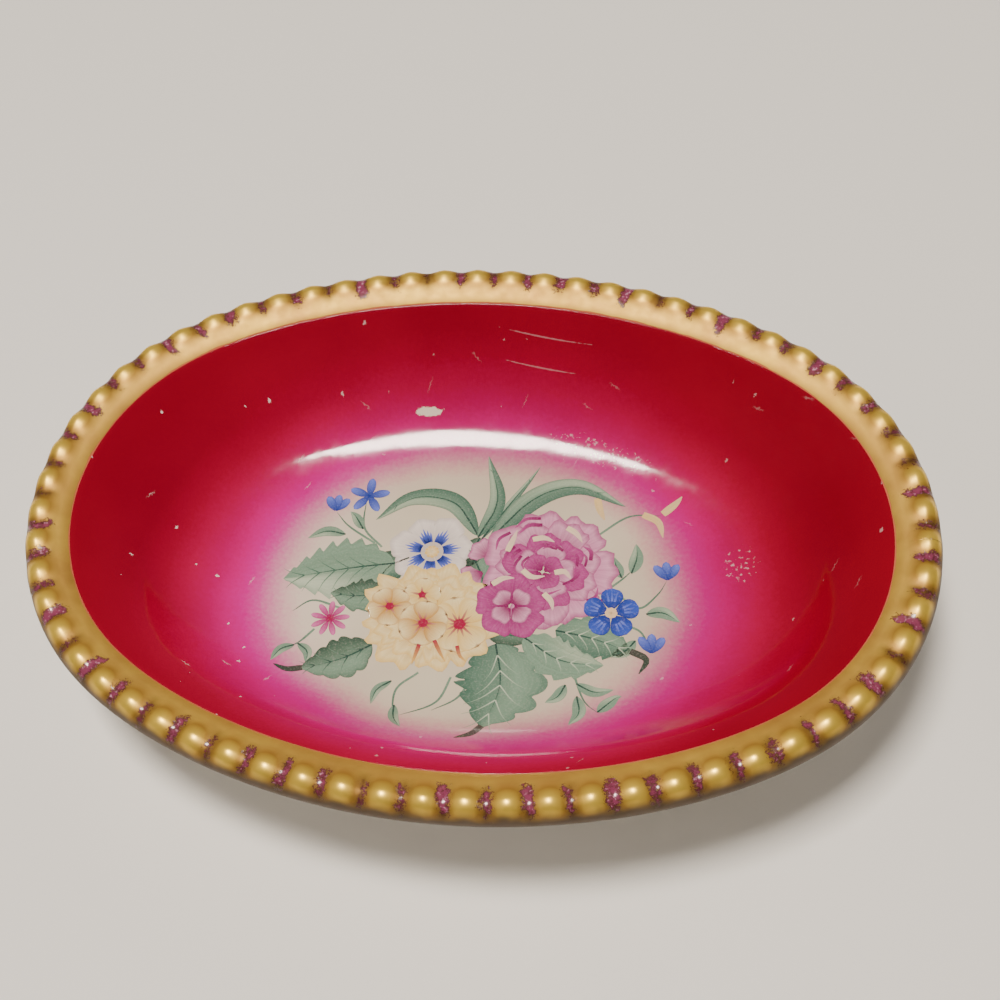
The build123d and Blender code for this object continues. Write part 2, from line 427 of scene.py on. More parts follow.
def worn_spot(tree, place, ragged, middle, radii, turn):
    """Mask of one ragged worn spot, placed in millimetres of the dish's plan."""
    any_height = 1e3
    mapped = node(
        tree,
        "ShaderNodeMapping",
        {
            "Vector": place,
            "Location": (middle[0] * MM, middle[1] * MM, 0),
            "Rotation": (0, 0, turn),
            "Scale": (radii[0] * MM, radii[1] * MM, any_height),
        },
        vector_type="TEXTURE",
    )
    away = node(tree, "ShaderNodeVectorMath", {0: mapped.outputs[0]}, operation="LENGTH").outputs["Value"]
    return spread(tree, total(tree, away, swing(tree, ragged, 1.6)), 0.85, 1.0, 1.0, 0.0)


def ruby_fade(tree, place, parts):
    """Ruby ground that fades inwards to cream, sprayed and cloudy, a little duller to the right."""
    squares = []
    for axis, middle, radius in zip("XY", FADE_MIDDLE, FADE_RADII):
        share = maths(tree, "DIVIDE", maths(tree, "SUBTRACT", parts[axis], middle), radius)
        squares.append(maths(tree, "POWER", share, 2.0))
    cloud = swing(tree, noise(tree, place, 110.0), 0.10)
    spray = swing(tree, noise(tree, place, 2600.0, 1.0), 0.07)
    reach = total(tree, maths(tree, "SQRT", total(tree, *squares)), total(tree, cloud, spray))
    tone = ramp(tree, maths(tree, "DIVIDE", reach, 2.0), FADE_TONES)
    rightwards = spread(tree, parts["X"], -22.0 * MM, -8.0 * MM)
    tone = mixed(tree, rightwards, tone, colour("f3f3e8"), "MULTIPLY")
    return mixed(tree, mottled(tree, place, 70.0, high=0.22), tone, colour("a8808c"), "MULTIPLY")


def bowl_wear_and_glints(tree, place, ragged):
    """Crazed spot, rubbed band painted pale partly as sheen, and fine streaks of painted glint on the bowl,
    as a mask.
    """
    crazed = product(
        tree,
        worn_spot(tree, place, ragged, *CRAZED_SPOT),
        spread(tree, noise(tree, place, 2600.0, 2.0), 0.58, 0.68),
        0.5,
    )
    # Rubbed band: worn glaze, its pale colour partly painted sheen of the overhead highlight.
    rubbed = product(
        tree,
        worn_spot(tree, place, ragged, *RUBBED_AND_SHEEN_SPOT),
        spread(tree, noise(tree, place, 3000.0), 0.58, 0.66),
        0.5,
    )
    # Fine streaks: painted glints, pale colour standing in for lamp reflections.
    streaks = greatest(tree, *(worn_spot(tree, place, ragged, *streak) for streak in PAINTED_GLINT_STREAKS))
    return greatest(tree, crazed, rubbed, product(tree, streaks, 0.25))


def ruby_to_cream():
    """Ruby ground airbrushed to a cream middle, under one glossy glaze."""
    finish, tree, shader, place = material("ruby_to_cream_glaze")
    parts = node(tree, "ShaderNodeSeparateXYZ", {0: place}).outputs
    ragged = noise(tree, place, 1900.0, 4.0, 0.7)
    leftwards = spread(tree, parts["X"], -12.0 * MM, -24.0 * MM, 0.32, 0.95)
    specks = speckled(tree, place, leftwards, product(tree, leftwards, 0.5))
    tone = ruby_fade(tree, place, parts)
    tone = mixed(tree, specks, tone, colour("ecd0cc"))
    tone = mixed(tree, worn_spot(tree, place, ragged, *CHIP), tone, colour("e2d3bf"))
    # Pale colour of the marks: wear, with painted sheen on the rubbed band and painted glints in the streaks.
    tone = mixed(tree, bowl_wear_and_glints(tree, place, ragged), tone, colour("e6bfc4"))
    up_wall = maths(tree, "POWER", spread(tree, parts["Z"], POOL_START, CREST), 2.0)
    towards = spread(tree, parts["Y"], POOL_HALF_SPAN, -POOL_HALF_SPAN, 0.2, 1.0)
    pooled = product(tree, up_wall, towards, -POOL_DEPTH)
    fill(tree, shader, {
        "Base Color": tone,
        "Roughness": mottled(tree, place, 700.0, 4.0, 0.07, 0.13),
        "IOR": 1.5,
        "Normal": bumped(tree, pooled, 1.0, 1.0, rippled(tree, place, 0.16, 0.10)),
    })
    return finish


def beside_bead(tree, around):
    """How far a point lies from its bead's middle: none there, one in the valley."""
    phase = maths(tree, "FRACT", total(tree, around, BEAD_FIRST))
    return product(tree, maths(tree, "ABSOLUTE", maths(tree, "SUBTRACT", phase, 0.5)), 2.0)


def fired_gold():
    """Satin gold over the beads, worn through to the ruby enamel in the valleys; painted shade and highlight
    on the beads, painted shade in the grooves, painted shadow on the lip's underside, and painted glints on
    the bare line and the worn enamel.
    """
    finish, tree, shader, place = material("fired_gold")
    across, dome, around = (attribute(tree, name) for name in ("across", "dome", "around"))
    ragged = noise(tree, place, 2500.0, 5.0, 0.85)
    patches = noise(tree, place, 420.0, 2.0)
    per_bead = noise(tree, node(tree, "ShaderNodeCombineXYZ", {0: around}).outputs[0], 0.9, 1.0)

    wandering = total(tree, around, swing(tree, patches, 0.45))
    valley = spread(tree, beside_bead(tree, wandering), 0.50, 0.90)
    shifted = total(tree, across, swing(tree, per_bead, 2.4 * MM))
    lane = product(tree, spread(tree, shifted, *WEAR_RISE), spread(tree, shifted, *WEAR_FALL, 1.0, 0.0))
    amount = product(tree, valley, lane, spread(tree, per_bead, 0.35, 0.62, 0.45, 1.2))
    rubbed = total(tree, amount, swing(tree, ragged, 3.0), swing(tree, patches, 0.8))
    deep = spread(tree, rubbed, 0.62, 1.10)
    worn = product(tree, spread(tree, rubbed, 0.54, 0.62, 0.0, 0.94), spread(tree, amount, 0.05, 0.22))
    # Bare line at the gold's inner edge, painted as a light glint on the step.
    bare_line_and_glint = spread(tree, total(tree, across, swing(tree, patches, 0.36 * MM)), *BARE_LINE_GLINT_BAND, 1.0, 0.0)
    enamel = greatest(tree, worn, bare_line_and_glint)
    gilt = maths(tree, "SUBTRACT", 1.0, enamel)

    gold = mixed(tree, mottled(tree, place, 260.0, 4.0), LAND_DULL, LAND_BRIGHT)
    # Painted shade round each bead's foot and painted highlight on its top, by the bead's height.
    gold = mixed(tree, spread(tree, dome, 0.10, 0.40), gold, BEAD_PAINTED_SHADE)
    gold = mixed(tree, spread(tree, dome, 0.38, 0.95), gold, BEAD_PAINTED_HIGHLIGHT)
    # Painted shade in the valleys between the beads.
    grooved = total(tree, beside_bead(tree, around), product(tree, ragged, 0.3))
    groove_shade = spread(tree, grooved, 0.60, 1.12)
    for band in GROOVE_SHADE_BANDS:
        groove_shade = product(tree, groove_shade, spread(tree, across, *band))
    gold = mixed(tree, product(tree, groove_shade, 0.9), gold, GROOVE_PAINTED_SHADE)
    # Painted shadow on the lip's underside, where the metallic is also lowered.
    ragged_edge = total(tree, across, product(tree, patches, 1.2 * MM))
    underside_shadow = spread(tree, ragged_edge, *UNDERSIDE_SHADOW_BAND, 0.0, 0.92, smooth=True)
    gold = mixed(tree, underside_shadow, gold, UNDERSIDE_PAINTED_SHADOW)

    # Painted glints: pale pink highlight colour in the worn patches.
    painted_glints = product(tree, spread(tree, noise(tree, place, 3800.0), 0.57, 0.70), deep)
    ruby = mixed(tree, deep, WORN_BROWN, WORN_RUBY)
    ruby = mixed(tree, painted_glints, ruby, WORN_PAINTED_GLINT)
    ruby = mixed(tree, bare_line_and_glint, ruby, BARE_LINE_PAINTED_GLINT)

    glossy = 0.16
    polished = spread(tree, dome, 0.25, 0.95, 0.19, 0.0)
    satin = total(tree, spread(tree, noise(tree, place, 900.0, 4.0), 0.25, 0.75, 0.31, 0.41), polished)
    grain = product(tree, noise(tree, place, 2200.0), 0.35)
    height = maths(tree, "SUBTRACT", grain, product(tree, enamel, 0.6))
    fill(tree, shader, {
        "Base Color": mixed(tree, enamel, gold, ruby),
        "Metallic": product(tree, gilt, spread(tree, underside_shadow, 0.0, 1.0, 0.68, 0.2)),
        "Roughness": total(tree, product(tree, maths(tree, "SUBTRACT", satin, glossy), gilt), glossy),
        "Normal": bumped(tree, height, 0.35, 0.03 * MM),
    })
    return finish


def white_glaze(name, tone, specks):
    """Plain glossy white glaze of the underside."""
    finish, tree, shader, place = material(name)
    body = mixed(tree, mottled(tree, place, 60.0), colour(tone), colour("f1ece2"))
    fill(tree, shader, {
        "Base Color": mixed(tree, speckled(tree, place, specks, 0.3), body, colour("8d8478")),
        "Roughness": mottled(tree, place, 500.0, low=0.08, high=0.16),
        "IOR": 1.52,
        "Normal": rippled(tree, place, 0.2, 0.12),
    })
    return finish


def foot_finish():
    """White glaze on the foot, wiped off where it stands so that the biscuit shows."""
    finish, tree, shader, place = material("foot_glaze_and_biscuit")
    rise = node(tree, "ShaderNodeSeparateXYZ", {0: place}).outputs["Z"]
    wobble = swing(tree, noise(tree, place, 300.0, 2.0), 0.3 * MM)
    bare = spread(tree, total(tree, rise, wobble), 0.30 * MM, 0.38 * MM, 1.0, 0.0)
    soil = spread(tree, noise(tree, place, 900.0, 5.0, 0.7), 0.45, 0.75)
    biscuit = mixed(tree, soil, colour("e6dfd2"), colour("b3a690"))
    grain = product(tree, noise(tree, place, 3000.0), bare)
    fill(tree, shader, {
        "Base Color": mixed(tree, bare, colour("ece7dd"), biscuit),
        "Roughness": spread(tree, bare, 0.0, 1.0, 0.12, 0.75),
        "Normal": bumped(tree, grain, 0.5, 0.04 * MM),
    })
    return finish


def biscuit_finish():
    """Unglazed porcelain under the coats."""
    finish, tree, shader, place = material("biscuit_porcelain")
    fill(tree, shader, {
        "Base Color": mixed(tree, mottled(tree, place, 400.0, 4.0), colour("e8e2d6"), colour("f0ebe1")),
        "Roughness": 0.7,
        "Normal": bumped(tree, noise(tree, place, 2500.0), 0.4, 0.03 * MM),
    })
    return finish


def enamel_finish(name, streaks, stipple):
    """Glossy printed enamel of one motif."""
    finish, tree, shader, place = material(name)
    print_of = {
        "Tone": attribute(tree, "tone", "Color"),
        "Weave": attribute(tree, "weave", "Vector"),
        "Place": place,
        "Streaks": streaks,
        "Stipple": stipple,
    }
    fill(tree, shader, {
        "Base Color": use(tree, printed_enamel, print_of)["Color"],
        "Roughness": mottled(tree, place, 900.0, low=0.08, high=0.14),
        "IOR": 1.5,
    })
    return finish


# Outline and section

def eased_oval(steps=4096):
    """Outline of the rim: its directions and points, with the ends' curve eased into the sides'."""
    turn = 2 * math.pi / steps
    angles = np.arange(steps) * turn
    middles = angles + turn / 2
    folded = np.abs(np.mod(middles + math.pi / 2, math.pi) - math.pi / 2)
    share = np.clip((folded - JUNCTION + EASING) / (2 * EASING), 0, 1)
    side = share * share * (3 - 2 * share)
    quarter = slice(0, steps // 4)
    end_x, side_x = ((w[quarter] * np.sin(middles[quarter])).sum() * turn for w in (1 - side, side))
    end_y, side_y = ((w[quarter] * np.cos(middles[quarter])).sum() * turn for w in (1 - side, side))
    determinant = end_x * side_y - side_x * end_y
    end_radius = (HALF_LENGTH * side_y - HALF_WIDTH * side_x) / determinant
    side_radius = (HALF_WIDTH * end_x - HALF_LENGTH * end_y) / determinant
    radii = end_radius * (1 - side) + side_radius * side
    moves = np.stack([-np.sin(middles), np.cos(middles)], 1) * (radii * turn)[:, None]
    points = np.array([HALF_LENGTH, 0.0]) + np.concatenate([[[0.0, 0.0]], moves.cumsum(0)])
    return np.append(angles, 2 * math.pi), points


oval_angles, oval_points = eased_oval()


def stations(count):
    """Outline points and outward directions at equal steps along the crest."""
    crest = oval_points - (LIP_RADIUS + CREST_FLAT) * np.stack([np.cos(oval_angles), np.sin(oval_angles)], 1)
    run = np.concatenate([[0.0], np.linalg.norm(np.diff(crest, axis=0), axis=1).cumsum()])
    angles = np.interp(np.arange(count) / count * run[-1], run, oval_angles)
    points = np.stack([np.interp(angles, oval_angles, oval_points[:, axis]) for axis in (0, 1)], 1)
    return points, np.stack([np.cos(angles), np.sin(angles)], 1)


def swept(centre, radius, start, stop, steps):
    """Points of an arc in the section, as (inset, height), angles measured from straight down."""
    angles = np.linspace(start, stop, steps)
    return [(centre[0] - radius * math.sin(t), centre[1] - radius * math.cos(t)) for t in angles]


# Centres and joints of the section's arcs, as (inset, height)
FLOOR_CENTRE = (FLOOR_INSET, FLOOR + FLOOR_ARC)
COVE_CENTRE = swept(FLOOR_CENTRE, FLOOR_ARC - WALL_ARC, FLOOR_TURN, FLOOR_TURN, 1)[0]
SLOPE_FOOT = swept(COVE_CENTRE, WALL_ARC, WALL_ANGLE, WALL_ANGLE, 1)[0]
SLOPE_TOP = (
    SLOPE_FOOT[0] - SLOPE_LENGTH * math.cos(WALL_ANGLE),
    SLOPE_FOOT[1] + SLOPE_LENGTH * math.sin(WALL_ANGLE),
)
LAND_CENTRE = swept(SLOPE_TOP, LAND_RADIUS, WALL_ANGLE, WALL_ANGLE, 1)[0]
LIP_CENTRE = (LIP_RADIUS, CREST - LIP_RADIUS)


def bowl_path(depth, fine=1):
    """Face of the bowl from the flat floor's edge to the crest, that deep below the glaze."""
    return (
        swept(FLOOR_CENTRE, FLOOR_ARC + depth, 0, FLOOR_TURN, FLOOR_STEPS * fine)[:-1]
        + swept(COVE_CENTRE, WALL_ARC + depth, FLOOR_TURN, WALL_ANGLE, COVE_STEPS * fine)
        + swept(LAND_CENTRE, depth - LAND_RADIUS, WALL_ANGLE, 0, LAND_STEPS * fine)
    )


def lip_path(depth, steps):
    """Round of the lip from the crest down to the neck."""
    return swept(LIP_CENTRE, depth - LIP_RADIUS, 0, -math.pi, steps)


def cut_path(path, inset, keep_inner):
    """Part of a path on one side of an inset, ended exactly there."""
    kept = []
    for here, there in zip(path, path[1:] + [None]):
        if (here[0] >= inset) == keep_inner:
            kept.append(here)
        if there and (here[0] - inset) * (there[0] - inset) < 0:
            share = (here[0] - inset) / (here[0] - there[0])
            kept.append((inset, here[1] + (there[1] - here[1]) * share))
    return kept


def under_path(outside):
    """Underside from its flat middle's edge out and up to the neck below the lip."""
    turn = swept(COVE_CENTRE, WALL_ARC + WALL - outside, WALL_ANGLE, WALL_ANGLE, 1)[0]
    top = LIP_BOTTOM + outside
    corner = (turn[0] - (top - turn[1]) / math.tan(WALL_ANGLE), top)
    radius = NECK_RADIUS + outside
    setback = radius * math.tan(WALL_ANGLE / 2)
    low = (corner[0] + setback * math.cos(WALL_ANGLE), top - setback * math.sin(WALL_ANGLE))
    centre = swept(low, radius, WALL_ANGLE, WALL_ANGLE, 1)[0]
    fillet = swept(centre, -radius, WALL_ANGLE, 0, NECK_STEPS)
    return (
        swept(FLOOR_CENTRE, FLOOR_ARC + WALL - outside, 0, FLOOR_TURN, FLOOR_STEPS)[:-1]
        + swept(COVE_CENTRE, WALL_ARC + WALL - outside, FLOOR_TURN, WALL_ANGLE, COVE_STEPS)
        + fillet
        + [(LIP_RADIUS, top)]
    )


def carried(name, section, count, closed=True):
    """Mesh of a section carried round the outline. Its points are (inset, height), and those of
    the flat middle also have a share that draws them in towards the centre."""
    points, outwards = stations(count)
    columns = []
    for inset, height, *share in section:
        plan = (points - inset * outwards) * (share[0] if share else 1.0)
        columns.append(np.column_stack([plan, np.full(count, height)]))
    vertices = np.stack(columns, 1).reshape(-1, 3)
    width = len(section)
    faces = []
    for i in range(count):
        after = (i + 1) % count
        for j in range(width if closed else width - 1):
            beside = (j + 1) % width
            faces.append((i * width + j, after * width + j, after * width + beside, i * width + beside))
    mesh = bpy.data.meshes.new(name)
    mesh.from_pydata(vertices.tolist(), [], faces)
    return mesh


def settled(name, mesh, finish, slot, *nodes):
    """Object of a closed mesh: doubles merged, faces outwards, smooth, on the dish's body."""
    shape = bmesh.new()
    shape.from_mesh(mesh)
    bmesh.ops.remove_doubles(shape, verts=shape.verts, dist=1e-7)
    bmesh.ops.recalc_face_normals(shape, faces=shape.faces)
    shape.to_mesh(mesh)
    shape.free()
    mesh.shade_smooth()
    if finish:
        mesh.materials.append(finish)
    piece = bpy.data.objects.new(name, mesh)
    bpy.context.scene.collection.objects.link(piece)
    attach(piece, "root")
    if nodes:
        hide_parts(*nodes)
    return piece


# Rings of the flat middle, as shares of its outline
MIDDLE_SHARES = (0.92, 0.8, 0.65, 0.5, 0.35, 0.2, 0.1, 0.0)


def make_bowl_glaze():
    """Glaze over the whole bowl face inside the gold."""
    face = cut_path(bowl_path(0, fine=2), GILT_WIDTH, True)
    back = cut_path(bowl_path(COAT), GILT_WIDTH, True)
    middle = [(FLOOR_INSET, FLOOR, share) for share in reversed(MIDDLE_SHARES)]
    under = [(FLOOR_INSET, FLOOR - COAT, share) for share in MIDDLE_SHARES]
    mesh = carried("bowl_glaze", middle + face + back[::-1] + under, BOWL_STEPS, closed=False)
    return settled("bowl_glaze", mesh, ruby_to_cream(), "ruby_enamel", "ruby_ground", "centre_glaze")


def bead_tree():
    """Geometry nodes that raise the row of beads on the rim and keep their height for the gold."""
    tree, given, out = group(
        "Beaded border",
        [
            ("Geometry", GEOMETRY, None),
            ("Relief", FLOAT, None),
            ("Bead middle", FLOAT, None),
            ("Bead reach", FLOAT, None),
            ("First bead", FLOAT, None),
            ("Valley", FLOAT, None),
            ("Finish", "NodeSocketMaterial", None),
        ],
        [("Geometry", GEOMETRY)],
        "GeometryNodeTree",
    )
    around, across, raised = (
        node(tree, "GeometryNodeInputNamedAttribute", {"Name": label}, data_type="FLOAT").outputs[0]
        for label in ("around", "across", "raised")
    )
    phase = maths(tree, "FRACT", total(tree, around, given["First bead"]))
    beside = product(tree, maths(tree, "SUBTRACT", phase, 0.5), 2.0)
    over = maths(tree, "DIVIDE", maths(tree, "SUBTRACT", across, given["Bead middle"]), given["Bead reach"])
    wave = total(tree, product(tree, maths(tree, "COSINE", product(tree, beside, math.pi)), 0.5), 0.5)
    swell = product(tree, wave, maths(tree, "SUBTRACT", 1.0, given["Valley"]))
    round_side = total(tree, swell, given["Valley"])
    round_end = spread(tree, maths(tree, "ABSOLUTE", over), 0.12, 1.0, 1.0, 0.0, smooth=True)
    dome = product(tree, round_side, round_end, raised)
    uneven = mottled(tree, node(tree, "GeometryNodeInputPosition").outputs[0], 240.0, 1.0, 0.9, 1.0)
    offset = node(tree, "ShaderNodeCombineXYZ", {"Z": product(tree, dome, given["Relief"], uneven)})
    stored = node(
        tree,
        "GeometryNodeStoreNamedAttribute",
        {"Geometry": given["Geometry"], "Name": "dome", "Value": dome},
        data_type="FLOAT",
        domain="POINT",
    )
    moves = {"Geometry": stored.outputs[0], "Offset": offset.outputs[0]}
    moved = node(tree, "GeometryNodeSetPosition", moves)
    real = node(tree, "GeometryNodeRealizeInstances", {0: moved.outputs[0]})
    gilded = {"Geometry": real.outputs[0], "Material": given["Finish"]}
    fill(tree, out, {0: node(tree, "GeometryNodeSetMaterial", gilded).outputs[0]})
    return tree


def make_gilt_rim():
    """Gold over the rim, with the beads raised in it."""
    outer = cut_path(bowl_path(0, fine=2), GILT_WIDTH, False) + lip_path(0, LIP_STEPS)
    back = cut_path(bowl_path(COAT), GILT_WIDTH, False)
    inner = lip_path(COAT, LIP_BACK_STEPS)[::-1] + back[::-1]
    steps = [0.0] + [math.dist(a, b) for a, b in zip(outer, outer[1:])]
    across = list(np.cumsum(steps)) + [0.0] * len(inner)
    raised = [1.0] * len(outer) + [0.0] * len(inner)
    count = BEADS * BEAD_STEPS
    mesh = carried("gilt_rim_base", outer + inner, count)
    for label, values in (
        ("around", np.repeat(np.arange(count) / BEAD_STEPS, len(across))),
        ("across", np.tile(across, count)),
        ("raised", np.tile(raised, count)),
    ):
        mesh.attributes.new(label, "FLOAT", "POINT").data.foreach_set("value", values.astype(np.float32))
    rim = bpy.data.objects.new("gilt_rim_base", mesh)
    bpy.context.scene.collection.objects.link(rim)
    beads = rim.modifiers.new("Beads", "NODES")
    beads.node_group = bead_tree()
    sizes = {
        "Relief": BEAD_RELIEF,
        "Bead middle": BEAD_MIDDLE,
        "Bead reach": BEAD_REACH,
        "First bead": BEAD_FIRST,
        "Valley": BEAD_VALLEY,
        "Finish": fired_gold(),
    }
    for socket in beads.node_group.interface.items_tree:
        if socket.name in sizes:
            beads[socket.identifier] = sizes[socket.name]
    graph = bpy.context.evaluated_depsgraph_get()
    shown = rim.evaluated_get(graph)
    beaded = bpy.data.meshes.new_from_object(shown, preserve_all_data_layers=True, depsgraph=graph)
    bpy.data.objects.remove(rim)
    beaded.name = "gilt_rim"
    return settled("gilt_rim", beaded, None, "gold", "gilt_edge", "bead_border")


def make_outside_glaze():
    """White glaze from the lip's neck down to the foot."""
    face = cut_path(under_path(0), FOOT_INSET, False)
    back = cut_path(under_path(COAT), FOOT_INSET, False)
    mesh = carried("underside_glaze", face + back[::-1], UNDER_STEPS)
    finish = white_glaze("white_glaze", "e9e3d8", 0.5)
    return settled("underside_glaze", mesh, finish, "white_glaze", "outside_glaze")


def make_base_glaze():
    """White glaze within the foot."""
    face = cut_path(under_path(0), FOOT_INNER_INSET, True)
    back = cut_path(under_path(COAT), FOOT_INNER_INSET, True)
    low, high = FLOOR - WALL, FLOOR - WALL + COAT
    under = [(FLOOR_INSET, low, share) for share in reversed(MIDDLE_SHARES)]
    over = [(FLOOR_INSET, high, share) for share in MIDDLE_SHARES]
    mesh = carried("well_glaze", under + face + back[::-1] + over, UNDER_STEPS, closed=False)
    finish = white_glaze("white_well_glaze", "e6e0d3", 0.8)
    return settled("well_glaze", mesh, finish, "white_glaze", "base_glaze")


def make_foot():
    """Low oval foot, softly rounded where it stands and where it meets the dish."""
    top = FLOOR - WALL / 2
    outer, inner = FOOT_INSET, FOOT_INNER_INSET
    eased = 0.3 * FOOT_TAPER
    round_turn, round_steps = 85 * DEGREE, 8
    outer_round = (outer + FOOT_TAPER + FOOT_EDGE, FOOT_EDGE)
    inner_round = (inner - FOOT_TAPER - FOOT_EDGE, FOOT_EDGE)
    section = (
        [(outer, top), (outer, FOOT_OUTER_LEAN[0]), (outer + eased, FOOT_OUTER_LEAN[1])]
        + swept(outer_round, FOOT_EDGE, round_turn, 0, round_steps)
        + swept(inner_round, FOOT_EDGE, 0, -round_turn, round_steps)
        + [(inner - eased, FOOT_INNER_LEAN[1]), (inner, FOOT_INNER_LEAN[0]), (inner, top)]
    )
    mesh = carried("foot", section, UNDER_STEPS)
    return settled("foot", mesh, foot_finish(), "porcelain", "foot_ring")


# Printed bouquet: thin patches of enamel on the glaze, drawn in millimetres of the dish's plan

LEAF_LIGHT, LEAF_MIDDLE, LEAF_DARK, LEAF_VEIN = map(colour, ("a3b59c", "7b9882", "46695a", "2c4640"))
LEAF_PALE, LEAF_DEEP, LEAF_SHADE = map(colour, ("bccab2", "33483c", "4b4a44"))
ROSE_PALE, ROSE_MAUVE, ROSE_DEEP, ROSE_RIM = map(colour, ("e0a2c0", "b95592", "86205c", "9c3875"))
YELLOW_PALE, YELLOW_WARM, YELLOW_SHADE = map(colour, ("f4dfa6", "e4bb66", "bd8434"))
WHITE_PETAL, WHITE_SHADE, CREAM_CURL = map(colour, ("e9e0d8", "c3b6b0", "efdcb4"))
BLUE_LIGHT, BLUE_MIDDLE, BLUE_DEEP, BLUE_EYE = map(colour, ("6f7edb", "445bc2", "28398f", "ecc9a0"))
DAISY_LIGHT, DAISY_DEEP, CRIMSON = map(colour, ("d977ae", "a31f68", "a11f44"))


def between(first, second, share):
    """Colour at a share of the way from one to another."""
    return tuple(a + (b - a) * share for a, b in zip(first, second))


def spoke(middle, heading, reach):
    """Point at a heading and reach from a middle."""
    return np.array(middle) + reach * np.array((math.cos(heading), math.sin(heading)))


def smooth_line(spots, step):
    """Even points and sideways directions of a smooth line through a few spots."""
    spots = np.array([tuple(s) for s in spots], float)
    padded = np.vstack([2 * spots[0] - spots[1], spots, 2 * spots[-1] - spots[-2]])
    line = []
    for before, here, there, after in zip(padded, padded[1:], padded[2:], padded[3:]):
        slope = there - before
        bend = 2 * before - 5 * here + 4 * there - after
        twist = 3 * here - before - 3 * there + after
        for t in np.linspace(0, 1, 12, endpoint=False):
            line.append(0.5 * (2 * here + slope * t + bend * t * t + twist * t ** 3))
    line = np.array(line + [spots[-1]])
    run = np.concatenate([[0.0], np.linalg.norm(np.diff(line, axis=0), axis=1).cumsum()])
    count = max(4, int(run[-1] / step))
    even = np.linspace(0, run[-1], count)
    line = np.stack([np.interp(even, run, line[:, k]) for k in (0, 1)], 1)
    ahead = np.gradient(line, axis=0)
    ahead /= np.linalg.norm(ahead, axis=1)[:, None]
    return line, np.stack([-ahead[:, 1], ahead[:, 0]], 1)


def lapped(i, count):
    """Layer of a petal in a closed ring of petals, so that no two that lap lie level."""
    return 2 if i == count - 1 and count % 2 else i % 2


